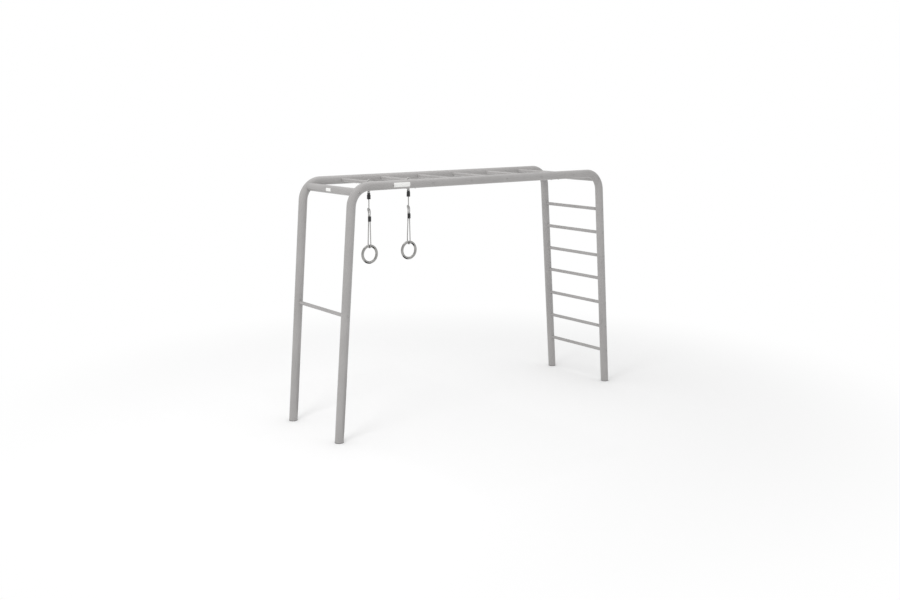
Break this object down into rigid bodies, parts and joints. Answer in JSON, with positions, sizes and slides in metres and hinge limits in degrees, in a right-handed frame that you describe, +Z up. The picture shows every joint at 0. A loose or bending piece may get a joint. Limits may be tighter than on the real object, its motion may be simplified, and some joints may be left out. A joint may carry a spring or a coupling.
{
  "type": "monkey bars",
  "caption": "Free-standing tube climbing frame with overhead bars, an end ladder, a low tumble bar and two hanging hand rings.",
  "frame": {"origin": "on the floor, in the middle between the four feet", "axes": "+X along the frame towards the ladder end, +Y to the rear side frame, +Z up"},
  "size_m": [3.2802, 0.872, 2.178],
  "materials": {
    "frame_paint": "satin powder coat, warm mid grey",
    "bar_paint": "satin powder coat, warm mid grey, slightly polished by hands",
    "fastener_paint": "powder coat to match the frame",
    "zinc_steel": "zinc plated",
    "hook_steel": "polished stainless steel wire",
    "pin_steel": "plain steel pin",
    "cap_plastic": "moulded polyethylene, dark grey",
    "black_plastic": "moulded black nylon",
    "label_vinyl": "white vinyl, blank",
    "rope_fibre": "braided polyester rope, light grey",
    "ring_plastic": "moulded ABS with a satin chrome plating"
  },
  "bodies": {
    "frame": {"corner_tube_front_left": "frame_paint", "corner_tube_front_right": "frame_paint", "corner_tube_rear_left": "frame_paint", "corner_tube_rear_right": "frame_paint", "leg_front_left": "frame_paint", "leg_front_right": "frame_paint", "leg_rear_left": "frame_paint", "leg_rear_right": "frame_paint", "foot_cap_front_left": "cap_plastic", "foot_cap_front_right": "cap_plastic", "foot_cap_rear_left": "cap_plastic", "foot_cap_rear_right": "cap_plastic", "centre_rail_front": "frame_paint", "centre_rail_rear": "frame_paint", "end_tube_left": "frame_paint", "end_tube_right": "frame_paint", "overhead_bar_1": "bar_paint", "overhead_bar_2": "bar_paint", "overhead_bar_3": "bar_paint", "overhead_bar_4": "bar_paint", "overhead_bar_5": "bar_paint", "overhead_bar_6": "bar_paint", "ladder_rung_1": "bar_paint", "ladder_rung_2": "bar_paint", "ladder_rung_3": "bar_paint", "ladder_rung_4": "bar_paint", "ladder_rung_5": "bar_paint", "ladder_rung_6": "bar_paint", "ladder_rung_7": "bar_paint", "tumble_bar": "bar_paint", "rail_sleeves": "zinc_steel", "leg_sleeves": "zinc_steel", "joint_screws": "fastener_paint", "bar_plugs": "zinc_steel", "bar_bolts": "fastener_paint", "end_tube_plugs": "zinc_steel", "end_tube_bolts": "fastener_paint", "rail_label": "label_vinyl", "end_label": "label_vinyl"},
    "left_hook_body": {"left_hook": "hook_steel", "left_gate_pin": "pin_steel"},
    "left_gate_body": {"left_gate": "hook_steel"},
    "left_rope_body": {"left_thimble": "zinc_steel", "left_rope_eye": "rope_fibre", "left_ferrule": "black_plastic", "left_rope": "rope_fibre", "left_slide_eye": "rope_fibre", "left_slider": "black_plastic"},
    "left_ring_body": {"left_ring": "ring_plastic"},
    "right_hook_body": {"right_hook": "hook_steel", "right_gate_pin": "pin_steel"},
    "right_gate_body": {"right_gate": "hook_steel"},
    "right_rope_body": {"right_thimble": "zinc_steel", "right_rope_eye": "rope_fibre", "right_ferrule": "black_plastic", "right_rope": "rope_fibre", "right_slide_eye": "rope_fibre", "right_slider": "black_plastic"},
    "right_ring_body": {"right_ring": "ring_plastic"}
  },
  "joints": [
    {"name": "left_hook_swing", "type": "hinge", "parent": "frame", "child": "left_hook_body", "pos_m": [-1.05, -0.06, 2.14], "axis": [0, 1, 0], "range_deg": [-10, 45]},
    {"name": "left_gate_open", "type": "hinge", "parent": "left_hook_body", "child": "left_gate_body", "pos_m": [-1.06265, -0.06, 2.08129], "axis": [0, 1, 0], "range_deg": [0, 25], "stiffness_Nm_per_rad": 0.1, "springref_deg": -17.19},
    {"name": "left_rope_swing", "type": "hinge", "parent": "left_hook_body", "child": "left_rope_body", "pos_m": [-1.05, -0.06, 2.0625], "axis": [1, 0, 0], "range_deg": [-40, 40]},
    {"name": "left_ring_tilt", "type": "hinge", "parent": "left_rope_body", "child": "left_ring_body", "pos_m": [-1.05, -0.06, 1.59], "axis": [1, 0, 0], "range_deg": [-60, 60]},
    {"name": "right_hook_swing", "type": "hinge", "parent": "frame", "child": "right_hook_body", "pos_m": [-0.63, -0.06, 2.14], "axis": [0, 1, 0], "range_deg": [-45, 10]},
    {"name": "right_gate_open", "type": "hinge", "parent": "right_hook_body", "child": "right_gate_body", "pos_m": [-0.64265, -0.06, 2.08129], "axis": [0, 1, 0], "range_deg": [0, 25], "stiffness_Nm_per_rad": 0.1, "springref_deg": -17.19},
    {"name": "right_rope_swing", "type": "hinge", "parent": "right_hook_body", "child": "right_rope_body", "pos_m": [-0.63, -0.06, 2.0625], "axis": [1, 0, 0], "range_deg": [-40, 40]},
    {"name": "right_ring_tilt", "type": "hinge", "parent": "right_rope_body", "child": "right_ring_body", "pos_m": [-0.63, -0.06, 1.59], "axis": [1, 0, 0], "range_deg": [-60, 60]}
  ]
}
